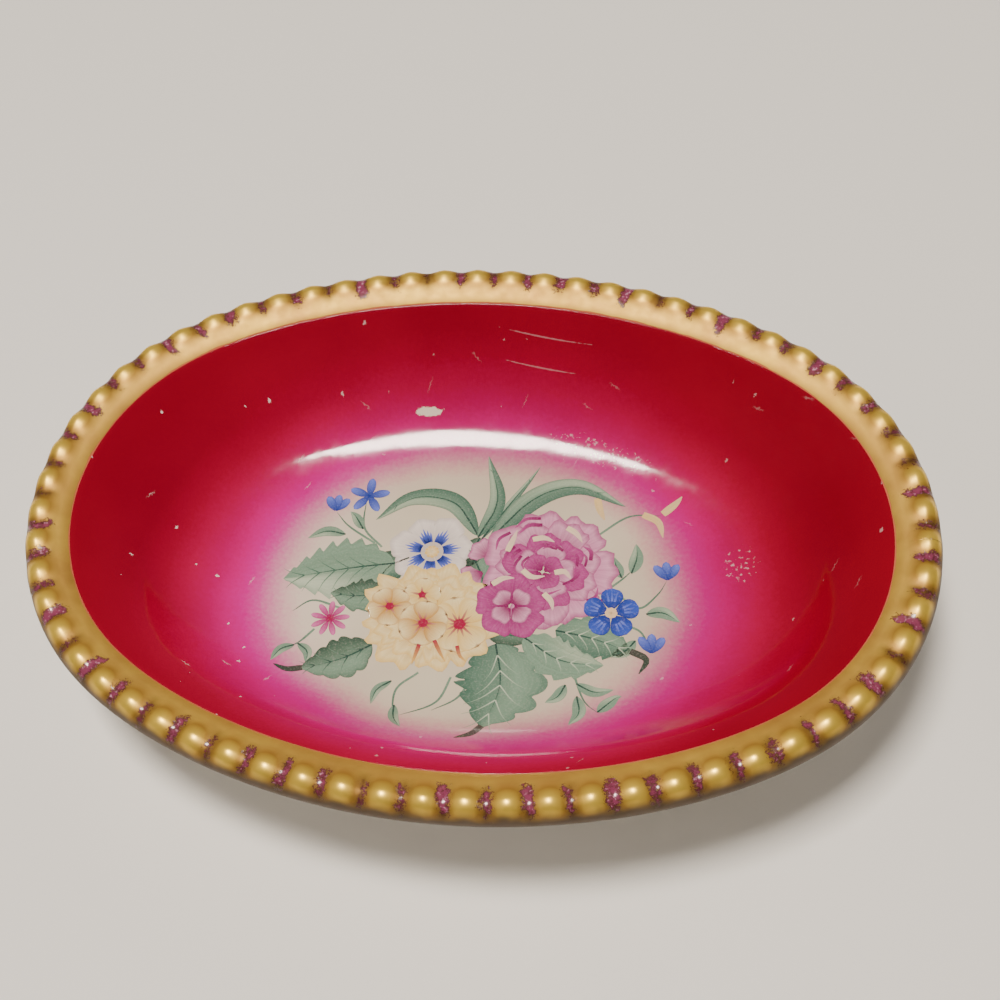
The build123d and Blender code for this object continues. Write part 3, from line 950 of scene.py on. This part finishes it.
class Motif:
    """Patches of one printed motif, each a thin closed film at its own height above the glaze.
    Places are in millimetres of the plan, and a patch of a higher layer lies over the others."""

    # Heights over the glaze: every film's underside, the lowest layer's top, and the rise between layers
    SEAT = 0.002 * MM
    START = 0.010 * MM
    STEP = 0.002 * MM

    # How far the print's grain moves on from layer to layer and from point to point
    LAYER_WEAVE = 3.7
    POINT_WEAVE = 0.013

    # Widths of the lines drawn on a leaf, in millimetres
    MIDRIB = 0.18
    VEIN = 0.13

    def __init__(self, glaze):
        self.glaze = glaze
        self.points, self.faces, self.tones, self.weave = [], [], [], []

    def patch(self, grid, tone_at, layer):
        """Adds a grid of plan points, rows along it and columns across, toned by (across, along)."""
        rows, columns = grid.shape[:2]
        first = len(self.points)
        strand = layer * self.LAYER_WEAVE + first * self.POINT_WEAVE
        for lift in (self.START + self.STEP * layer, self.SEAT):
            for i in range(rows):
                for j in range(columns):
                    x, y = grid[i, j] * MM
                    hit = self.glaze.ray_cast(Vector((x, y, CREST)), Vector((0, 0, -1)))[0]
                    across, along = 2 * j / (columns - 1) - 1, i / (rows - 1)
                    self.points.append((x, y, hit.z + lift))
                    self.tones.append(tone_at(across, along))
                    self.weave.append((across, along, strand))

        def at(i, j, low=0):
            return first + low * rows * columns + i * columns + j

        for i in range(rows - 1):
            for j in range(columns - 1):
                self.faces.append((at(i, j), at(i, j + 1), at(i + 1, j + 1), at(i + 1, j)))
                self.faces.append((at(i, j, 1), at(i + 1, j, 1), at(i + 1, j + 1, 1), at(i, j + 1, 1)))
        rim = [(0, j) for j in range(columns)] + [(i, columns - 1) for i in range(1, rows)]
        rim += [(rows - 1, j) for j in range(columns - 2, -1, -1)] + [(i, 0) for i in range(rows - 2, 0, -1)]
        for here, there in zip(rim, rim[1:] + rim[:1]):
            self.faces.append((at(*here), at(*here, 1), at(*there, 1), at(*there)))

    def fan(self, middle, heading, half_spread, inner, outer, base, tip, layer,
            rim=None, ruffle=0.06, lobes=3, tilt=0.0):
        """Broad petal: part of a ring round a flower's middle, with a ruffled outer edge."""
        rows, columns = 8, 13
        grid = np.zeros((rows, columns, 2))
        for i, v in enumerate(np.linspace(0, 1, rows)):
            for j, u in enumerate(np.linspace(-1, 1, columns)):
                edge = 1 + ruffle * math.cos(lobes * math.pi * (u + tilt)) - 0.30 * abs(u) ** 5
                reach = inner + (outer * edge - inner) * v
                grid[i, j] = spoke(middle, heading + half_spread * u * (0.72 + 0.28 * v), reach)

        def tone(u, v):
            shade = between(base, tip, min(1, max(0, v * 1.15 - 0.05 - 0.18 * abs(u) ** 3)))
            return between(shade, rim, 0.75) if rim and v > 0.93 else shade

        self.patch(grid, tone, layer)

    def petal(self, middle, heading, inner, length, width, base, tip, layer, fullness=0.62, notch=0.0):
        """Narrow petal with a round tip, widest at a share of its length."""
        rows, columns = 12, 7
        grid = np.zeros((rows, columns, 2))
        forwards = np.array([math.cos(heading), math.sin(heading)])
        sidewards = np.array([-forwards[1], forwards[0]])
        for i in range(rows):
            v = i / (rows - 1)
            if v < fullness:
                half = width / 2 * (0.22 + 0.78 * math.sin(math.pi / 2 * v / fullness))
            else:
                half = width / 2 * math.sqrt(max(0.0, 1 - ((v - fullness) / (1 - fullness)) ** 2))
            for j, u in enumerate(np.linspace(-1, 1, columns)):
                reach = inner + length * v * (1 - notch * v ** 4 * (1 - abs(u)))
                grid[i, j] = np.array(middle) + forwards * reach + sidewards * half * u
        self.patch(grid, lambda u, v: between(base, tip, min(1, v * 1.1) * (1 - 0.6 * abs(u) ** 4)), layer)

    def petals(self, middle, count, turn, inner, length, width, base, tip, layer, fullness=0.62, notch=0.0):
        """Closed ring of narrow petals."""
        for i in range(count):
            heading = turn + 2 * math.pi * i / count
            over = layer + lapped(i, count)
            self.petal(middle, heading, inner, length, width, base, tip, over, fullness, notch)

    def stroke(self, spots, width, tone, layer, end_tone=None, thick_end=0.25):
        """Tapered brush line through a few spots."""
        line, side = smooth_line(spots, 0.3)
        shares = np.linspace(0, 1, len(line))
        swell = np.sin(np.pi * np.clip(thick_end + (1 - thick_end) * shares, 0, 1)) ** 0.7
        half = width / 2 * np.maximum(0.12, swell)
        grid = np.stack([line - side * half[:, None], line, line + side * half[:, None]], 1)
        self.patch(grid, lambda u, v: between(tone, end_tone or tone, v), layer)

    def leaf(self, spots, width, layer, light=LEAF_LIGHT, dark=LEAF_DARK, teeth=0, depth=0.0,
             veins=5, widest=0.42, lobed=False, vein=LEAF_DARK):
        """Leaf along a bent midrib, one half in shade, with its veins drawn over it. Its edge is
        toothed, or lobed where it has round lobes."""
        line, side = smooth_line(spots, 0.14)
        rows, columns = len(line), 9
        grid = np.zeros((rows, columns, 2))
        fullest = math.log(0.5) / math.log(widest)
        for i in range(rows):
            v = i / (rows - 1)
            swell = math.sin(math.pi * v ** fullest) ** 0.85 if 0 < v < 1 else 0.0
            for j, u in enumerate(np.linspace(-1, 1, columns)):
                part = (v * teeth + (0.35 if u > 0 else 0.0)) % 1.0
                if lobed:
                    cut = abs(math.sin(math.pi * part)) ** 0.7 - 0.75
                else:
                    cut = min((1 - part) / 0.8, part / 0.2) - 0.5
                tooth = 1 + depth * cut * u * u if teeth else 1.0
                grid[i, j] = line[i] + side[i] * u * width / 2 * swell * tooth

        def tone(u, v):
            if u > 0:
                shade = between(light, LEAF_MIDDLE, 0.45 + 0.5 * math.sin(5 * v + 2 * u))
            else:
                shade = between(LEAF_MIDDLE, dark, 0.35 + 0.5 * abs(u))
            return between(shade, dark, 0.55 * abs(u) ** 6 + 0.35 * max(0, 0.25 - v) * 4)

        self.patch(grid, tone, layer)
        midrib = line[: int(rows * 0.92)]
        self.stroke(midrib[:: max(1, rows // 6)], self.MIDRIB, LEAF_VEIN, layer + 1, LEAF_DARK, 0.45)
        for k in range(veins):
            i = int(rows * (0.14 + 0.66 * k / max(1, veins - 1)))
            ahead = line[min(rows - 1, i + 4)] - line[i]
            ahead = ahead / (np.linalg.norm(ahead) + 1e-9)
            swell = math.sin(math.pi * (i / rows) ** fullest)
            for way in (-1, 1):
                out = line[i] + side[i] * way * width * 0.36 * swell + ahead * width * 0.30
                bend = (line[i] + out) / 2 + ahead * width * 0.04
                self.stroke([line[i], bend, out], self.VEIN, vein, layer + 2, LEAF_MIDDLE, 0.5)

    def finished(self, name, finish, slot, cad_node):
        """The motif's patches as one object, with their tones and weave."""
        mesh = bpy.data.meshes.new(name)
        mesh.from_pydata(self.points, [], self.faces)
        tones = mesh.color_attributes.new("tone", "FLOAT_COLOR", "POINT")
        tones.data.foreach_set("color", np.array(self.tones, np.float32).ravel())
        weave = mesh.attributes.new("weave", "FLOAT_VECTOR", "POINT")
        weave.data.foreach_set("vector", np.array(self.weave, np.float32).ravel())
        piece = settled(name, mesh, finish, slot, cad_node)
        mesh.set_sharp_from_angle(angle=40 * DEGREE)
        return piece


def draw_rose(motif):
    """Full pink rose of ruffled petals, ring over ring, with cream curls."""
    chance = random.Random(11)
    middle = np.array((6.7, 1.4))
    rings = (
        (7, 3.6, 7.4, ROSE_MAUVE, ROSE_PALE, 0.55),
        (7, 2.9, 6.0, ROSE_DEEP, ROSE_PALE, 0.52),
        (6, 2.0, 4.7, ROSE_DEEP, ROSE_MAUVE, 0.58),
        (5, 1.2, 3.5, ROSE_RIM, ROSE_PALE, 0.66),
        (4, 0.5, 2.3, ROSE_DEEP, ROSE_MAUVE, 0.80),
    )
    layer = 8
    for ring, (count, inner, outer, base, tip, half_spread) in enumerate(rings):
        for i in range(count):
            heading = 2 * math.pi * (i + 0.37 * ring) / count + chance.uniform(-0.12, 0.12)
            squash = 1.0 - 0.10 * abs(math.cos(heading))
            centre = middle + np.array((-0.35, -0.25)) * ring * 0.5
            motif.fan(centre, heading, half_spread, inner * 0.4, outer * squash * chance.uniform(0.92, 1.06),
                      base, tip, layer + lapped(i, count),
                      ROSE_RIM, 0.045, chance.choice((2, 3)), chance.uniform(-0.4, 0.4))
        layer += 3
    for i in range(22):
        heading, reach = chance.uniform(0, 2 * math.pi), chance.uniform(2.2, 6.3)
        bend = chance.uniform(0.22, 0.42) * 4.0 / reach
        arc = ((heading - bend, 0.0), (heading, 0.35), (heading + bend, 0.0))
        spots = [spoke(middle, turn, reach + lift) for turn, lift in arc]
        motif.stroke(spots, chance.uniform(0.25, 0.45), ROSE_DEEP, layer + i % 3, ROSE_MAUVE, 0.3)
    layer += 6
    for ring, (count, outer) in enumerate(((5, 3.6), (4, 2.2))):
        for i in range(count):
            heading = 2 * math.pi * (i + 0.3 * ring) / count + 0.4
            motif.fan((3.4, -3.3), heading, 0.72, 0.3, outer * chance.uniform(0.9, 1.05),
                      ROSE_DEEP, (ROSE_MAUVE, ROSE_PALE)[ring], layer + 3 * ring + lapped(i, count),
                      ROSE_RIM, 0.05, 2, 0.2)
    for i, (x, y) in enumerate(((0.7, 2.2), (0.2, 0.4))):
        motif.fan((x, y), 2.6 + 1.1 * i, 0.9, 0.2, 2.4, ROSE_DEEP, ROSE_PALE, 6 + i, ROSE_RIM, 0.06, 3)
    curls = (
        ((4.6, 4.6), (5.7, 4.9), (6.8, 4.5)),
        ((7.9, 6.3), (8.9, 5.7), (9.6, 4.7)),
        ((4.0, 0.9), (5.0, 0.2), (6.3, 0.4)),
        ((7.2, 0.9), (8.2, 1.1), (8.9, 0.3)),
        ((6.4, -1.6), (7.2, -2.4), (7.5, -3.4)),
        ((2.2, 3.0), (2.6, 4.4), (2.9, 5.6)),
        ((1.2, -1.0), (2.2, -0.2), (3.3, -0.1)),
    )
    for spots in curls:
        motif.stroke(spots, 0.62, CREAM_CURL, layer + 5, between(CREAM_CURL, ROSE_PALE, 0.5), 0.3)


def draw_floret(motif, middle, radius, count, base, tip, layer, turn, stamens):
    """Small open flower with a ring of stamens."""
    inner, length, width = 0.12 * radius, 0.9 * radius, 1.02 * radius
    motif.petals(middle, count, turn, inner, length, width, base, tip, layer, 0.66, 0.08)
    stamen_end = between(CRIMSON, tip, 0.5)
    for i in range(stamens):
        heading = turn + 0.2 + 2 * math.pi * i / stamens
        start = spoke(middle, heading, 0.10 * radius)
        end = spoke(middle, heading, (0.36 + 0.12 * (i % 3)) * radius)
        motif.stroke((start, (start + end) / 2, end), 0.26, CRIMSON, layer + 3, stamen_end, 0.4)
    motif.petals(middle, 5, turn, 0.0, 0.2 * radius, 0.2 * radius, CRIMSON, CRIMSON, layer + 4)


def draw_yellow_bloom(motif):
    """Yellow bloom of many pale petals round crimson-eyed florets."""
    chance = random.Random(5)
    middle = (-4.4, -5.2)
    layer = 7
    rings = ((9, 7.2, YELLOW_SHADE), (8, 6.0, YELLOW_SHADE), (7, 4.6, YELLOW_WARM))
    for ring, (count, outer, base) in enumerate(rings):
        for i in range(count):
            heading = 2 * math.pi * (i + 0.5 * ring) / count + chance.uniform(-0.1, 0.1)
            reach = outer * (1.0 - 0.16 * abs(math.sin(heading))) * chance.uniform(0.94, 1.05)
            motif.fan(middle, heading, 0.46, 1.0, reach, base, YELLOW_PALE, layer + lapped(i, count),
                      YELLOW_WARM, 0.075, chance.choice((2, 3)), chance.uniform(-0.3, 0.3))
        layer += 3
    florets = (
        ((-5.6, -2.8), 1.9, 5, 0.3, 5),
        ((-8.6, -4.4), 2.2, 5, 1.0, 6),
        ((-1.4, -5.8), 3.1, 7, 0.1, 13),
        ((-5.0, -6.0), 2.5, 6, 0.5, 9),
    )
    for index, (spot, radius, count, turn, stamens) in enumerate(florets):
        base = (YELLOW_WARM, YELLOW_SHADE)[index % 2]
        draw_floret(motif, spot, radius, count, base, YELLOW_PALE, layer, turn, stamens)
        layer += 4
    folds = (
        ((-3.6, -7.8), (-2.9, -9.0), (-2.2, -10.0)),
        ((-5.0, -8.4), (-5.2, -9.6), (-5.4, -10.6)),
        ((-1.3, -8.2), (-0.9, -9.2), (-0.2, -9.8)),
    )
    for spots in folds:
        motif.stroke(spots, 0.40, CRIMSON, layer, YELLOW_WARM, 0.4)


def draw_white_flower(motif):
    """White flower with blue brush marks round a cream eye."""
    middle = (-5.4, 2.3)
    for i in range(7):
        heading = 2 * math.pi * i / 7 + 0.25
        motif.fan(middle, heading, 0.52, 0.3, 4.1 + 0.3 * (i % 2), WHITE_SHADE, WHITE_PETAL,
                  1 + lapped(i, 7), WHITE_SHADE, 0.04, 2)
        for k in range(-2, 3):
            start = spoke(middle, heading + 0.13 * k, 1.15)
            end = spoke(middle, heading + 0.13 * k, 2.95 - 0.30 * abs(k))
            motif.stroke((start, (start + end) / 2, end), 0.30, BLUE_DEEP, 4, BLUE_LIGHT, 0.35)
    motif.petals(middle, 9, 0.0, 0.0, 0.75, 0.5, CREAM_CURL, YELLOW_WARM, 5)


def draw_blue_flowers(motif):
    """Blue flowers and buds, whose stalks are drawn with the leaves."""
    middle = (13.2, -3.2)
    for i in range(5):
        heading = 2 * math.pi * (i + 0.28) / 5
        motif.petal(middle, heading, 0.5, 2.3, 2.2, BLUE_DEEP, BLUE_MIDDLE, 30 + lapped(i, 5), 0.6)
        for k in (-0.22, 0.0, 0.22):
            spots = [spoke(middle, heading + k, reach) for reach in (1.3, 1.9, 2.45)]
            motif.stroke(spots, 0.22, BLUE_LIGHT, 33, BLUE_MIDDLE, 0.4)
    motif.petals(middle, 8, 0.0, 0.0, 0.62, 0.5, BLUE_EYE, BLUE_EYE, 34)
    motif.petals((-13.0, 8.5), 5, 0.3, 0.0, 2.2, 0.95, BLUE_DEEP, BLUE_LIGHT, 3, 0.55)
    buds = (
        ((-16.2, 6.4), 2.0, 0.9),
        ((18.4, 1.1), 2.1, 1.1),
        ((17.4, -7.2), 2.1, 1.0),
    )
    for spot, length, turn in buds:
        for i in range(3):
            over = 3 + lapped(i, 3)
            motif.petal(spot, turn + 0.62 * i, 0.0, length, 0.95, BLUE_DEEP, BLUE_LIGHT, over, 0.55)


def draw_daisy(motif):
    """Small magenta daisy."""
    middle = (-14.3, -6.3)
    motif.petals(middle, 9, 0.2, 0.25, 1.75, 0.62, DAISY_DEEP, DAISY_LIGHT, 2, 0.55)
    motif.petals(middle, 6, 0.0, 0.0, 0.5, 0.36, CRIMSON, DAISY_DEEP, 5)


def draw_leaves(motif):
    """Leaves, ribbon blades and thin stalks behind the flowers."""
    for spots, width in (
        (((-1.6, 2.8), (0.2, -0.6), (1.2, -5.4)), 3.4),
        (((-7.6, 1.4), (-9.6, 0.0), (-10.6, -3.0)), 3.6),
        (((1.2, -4.8), (3.0, -6.4), (6.4, -6.6)), 2.6),
        (((-0.8, 4.4), (-1.4, 2.4), (-2.6, 0.4)), 2.4),
    ):
        motif.leaf(spots, width, 0, LEAF_DARK, LEAF_DEEP, veins=0)
    silvery = (LEAF_PALE, LEAF_MIDDLE, LEAF_DARK)
    sombre = (LEAF_MIDDLE, LEAF_DEEP, LEAF_VEIN)
    veined = (LEAF_MIDDLE, LEAF_DARK, LEAF_PALE)
    pale = (LEAF_LIGHT, LEAF_MIDDLE, LEAF_PALE)
    leaves = (
        (((-9.0, 0.6), (-13.5, -0.4), (-19.9, -2.2)), 6.6, 8, 0.30, 6, False, silvery),
        (((-9.0, -2.6), (-12.0, -3.5), (-14.8, -3.4)), 3.6, 5, 0.28, 4, False, sombre),
        (((8.0, -5.6), (11.8, -6.2), (15.6, -7.4)), 4.4, 6, 0.30, 5, False, veined),
        (((5.0, -6.6), (8.8, -8.8), (13.0, -9.0)), 4.2, 6, 0.26, 5, False, pale),
        (((2.4, -7.6), (3.4, -12.0), (2.4, -17.2)), 8.4, 5, 0.34, 5, True, veined),
        (((-9.6, -8.8), (-12.4, -10.7), (-16.0, -12.3)), 4.6, 5, 0.22, 4, True, sombre),
    )
    for index, (spots, width, teeth, depth, veins, lobed, (light, dark, vein)) in enumerate(leaves):
        over = 1 + 3 * (index % 2)
        motif.leaf(spots, width, over, light, dark, teeth, depth, veins, lobed=lobed, vein=vein)
    curled_tips = (
        ((2.4, -17.0), (1.6, -18.2), (0.2, -19.0)),
        ((15.4, -7.2), (17.0, -8.0), (16.4, -9.6)),
        ((-15.8, -12.2), (-17.2, -12.6), (-18.6, -12.2)),
    )
    for spots in curled_tips:
        motif.stroke(spots, 0.7, LEAF_SHADE, 5, LEAF_DEEP, 0.35)
    blades = (
        (((-1.0, 4.6), (-4.0, 8.4), (-8.4, 8.6), (-11.8, 5.6)), 2.3),
        (((-1.0, 4.4), (0.4, 9.0), (-1.2, 14.4)), 1.7),
        (((-0.6, 4.2), (2.0, 9.2), (4.4, 13.6)), 0.8),
        (((0.2, 4.2), (4.2, 9.6), (8.6, 11.4), (13.6, 9.4)), 2.4),
    )
    for index, (spots, width) in enumerate(blades):
        motif.leaf(spots, width, 1 + 3 * (index % 2), veins=2, widest=0.4)
    sprigs = (
        (((12.9, -14.4), (14.4, -12.6), (15.0, -12.3)), 1.3),
        (((14.8, 1.5), (15.2, 3.4), (15.0, 5.0)), 1.4),
        (((13.9, 0.9), (13.2, 2.3), (12.9, 3.3)), 1.2),
        (((16.6, -3.0), (18.2, -2.7), (19.9, -3.6)), 1.3),
        (((15.8, -6.0), (14.9, -7.2), (13.4, -8.0)), 1.3),
        (((10.6, -11.2), (12.4, -12.0), (14.2, -11.6)), 1.2),
        (((9.6, -11.4), (9.0, -12.8), (7.9, -13.6)), 1.2),
        (((10.8, -12.6), (11.2, -14.6), (10.4, -16.2)), 1.3),
        (((-14.6, 3.6), (-16.6, 3.8), (-18.4, 2.8)), 1.2),
        (((-12.9, 4.4), (-13.9, 5.8), (-14.6, 6.4)), 1.1),
        (((-17.2, -9.6), (-18.4, -10.3), (-19.0, -11.8)), 1.0),
        (((-16.9, -9.4), (-15.8, -10.2), (-15.6, -11.6)), 1.0),
        (((-6.2, -15.4), (-5.9, -17.0), (-5.0, -18.2)), 1.0),
        (((-7.0, -12.6), (-8.2, -13.8), (-8.4, -15.6)), 0.9),
    )
    for index, (spots, width) in enumerate(sprigs):
        motif.leaf(spots, width, 1 + 3 * (index % 2), dark=LEAF_MIDDLE, veins=0)
    stalks = (
        ((9.8, -8.6), (10.6, -11.0), (11.6, -13.2), (12.9, -14.4)),
        ((13.9, -1.2), (15.9, -2.4), (17.6, -0.6), (18.3, 0.9)),
        ((14.4, -4.4), (16.2, -5.0), (17.3, -7.0)),
        ((12.4, -0.8), (14.0, 0.8), (14.8, 1.8)),
        ((-10.6, 2.4), (-12.8, 4.6), (-13.2, 8.0)),
        ((-11.4, 2.8), (-14.4, 4.6), (-16.0, 6.2)),
        ((-15.6, -7.6), (-16.8, -9.2), (-17.6, -9.8)),
        ((-13.6, -5.0), (-16.4, -4.4), (-18.2, -5.8)),
        ((-4.6, -11.4), (-6.4, -13.6), (-6.0, -17.4)),
        ((-1.4, -11.6), (-2.4, -14.6), (-5.4, -16.6)),
        ((0.6, -11.2), (-0.4, -13.8), (-2.6, -15.6)),
        ((11.0, 5.6), (14.0, 8.2), (17.2, 8.6)),
    )
    for spots in stalks:
        motif.stroke(spots, 0.24, LEAF_MIDDLE, 0, LEAF_DARK, 0.35)
    cream_buds = (
        ((15.4, 8.6), (17.0, 7.8), (17.6, 6.0)),
        ((10.6, 10.2), (11.0, 8.8), (11.6, 7.6)),
        ((17.4, 8.8), (18.6, 10.0), (19.2, 10.8)),
    )
    bud_tone = between(YELLOW_WARM, CREAM_CURL, 0.35)
    bud_end = between(YELLOW_SHADE, CREAM_CURL, 0.6)
    for spots in cream_buds:
        motif.stroke(spots, 0.8, bud_tone, 1, bud_end, 0.3)


def print_bouquet(glaze_piece):
    """Every motif of the bouquet, each in its own piece."""
    glaze = BVHTree.FromObject(glaze_piece, bpy.context.evaluated_depsgraph_get())
    motifs = (
        ("rose", draw_rose, "pink_enamel", "rose_print", 0.45, 0.10),
        ("yellow_bloom", draw_yellow_bloom, "yellow_enamel", "yellow_bloom_print", 0.28, 0.10),
        ("white_flower", draw_white_flower, "white_enamel", "white_flower_print", 0.25, 0.05),
        ("blue_flowers", draw_blue_flowers, "blue_enamel", "blue_flower_print", 0.35, 0.12),
        ("daisy", draw_daisy, "magenta_enamel", "daisy_print", 0.35, 0.15),
        ("leaves", draw_leaves, "green_enamel", "leaf_print", 0.40, 0.16),
    )
    for name, draw, slot, cad_node, streaks, stipple in motifs:
        motif = Motif(glaze)
        draw(motif)
        motif.finished(name, enamel_finish(slot, streaks, stipple), slot, cad_node)


# Stage

def make_camera():
    """Camera at the photograph's viewing angle."""
    camera = bpy.data.cameras.new("camera")
    camera.lens = CAMERA_LENS
    camera.sensor_width = 36
    camera.clip_start = 0.005
    held = bpy.data.objects.new("camera", camera)
    turned = (
        Matrix.Rotation(CAMERA_HEADING, 4, "Z")
        @ Matrix.Rotation(math.pi / 2 - CAMERA_DROP, 4, "X")
        @ Matrix.Rotation(CAMERA_ROLL, 4, "Z")
    )
    held.matrix_world = Matrix.Translation(CAMERA_PLACE) @ turned
    bpy.context.scene.collection.objects.link(held)
    bpy.context.scene.camera = held


def make_floor():
    """Plain pale floor."""
    half = 1.5
    corners = [(-half, -half, 0), (half, -half, 0), (half, half, 0), (-half, half, 0)]
    mesh = bpy.data.meshes.new("floor")
    mesh.from_pydata(corners, [], [(0, 1, 2, 3)])
    finish, tree, shader, place = material("pale_floor")
    tone = mixed(tree, noise(tree, place, 8.0), colour("ece9e4"), colour("f0eeea"))
    fill(tree, shader, {"Base Color": tone, "Roughness": 0.55})
    mesh.materials.append(finish)
    floor = bpy.data.objects.new("floor", mesh)
    bpy.context.scene.collection.objects.link(floor)


def softbox(name, place, target, size, power, tone):
    """Rectangular lamp that faces a point."""
    lamp = bpy.data.lights.new(name, "AREA")
    lamp.shape = "RECTANGLE"
    lamp.size, lamp.size_y = size
    lamp.energy = power
    lamp.color = colour(tone)[:3]
    hung = bpy.data.objects.new(name, lamp)
    aim = Vector(target) - Vector(place)
    hung.rotation_euler = aim.to_track_quat("-Z", "Y").to_euler()
    hung.location = place
    bpy.context.scene.collection.objects.link(hung)
    return hung


def make_lights():
    """Small overhead softbox that the glaze mirrors, two wide ones that it doesn't, and a dim room."""
    middle = (0, 0, 0.01)
    softbox("overhead", (-0.057, -0.060, 0.59), middle, (0.15, 0.11), 4.6, "fff4e6")
    for name, place in (("back", (0.5, 1.5, 1.1)), ("side", (-1.5, -0.6, 1.4))):
        softbox(name, place, middle, (1.7, 1.4), 6.5, "fff2e4").visible_glossy = False
    world = bpy.data.worlds.new("studio")
    world.use_nodes = True
    room = world.node_tree.nodes["Background"].inputs
    fill(world.node_tree, room, {"Color": colour("c9c9cc"), "Strength": 0.16})
    bpy.context.scene.world = world


make_camera()
make_floor()
make_lights()
bowl_glaze = make_bowl_glaze()
print_bouquet(bowl_glaze)
make_gilt_rim()
make_outside_glaze()
make_base_glaze()
make_foot()
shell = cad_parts["dish_body"]
shell.data.materials.clear()
shell.data.materials.append(biscuit_finish())
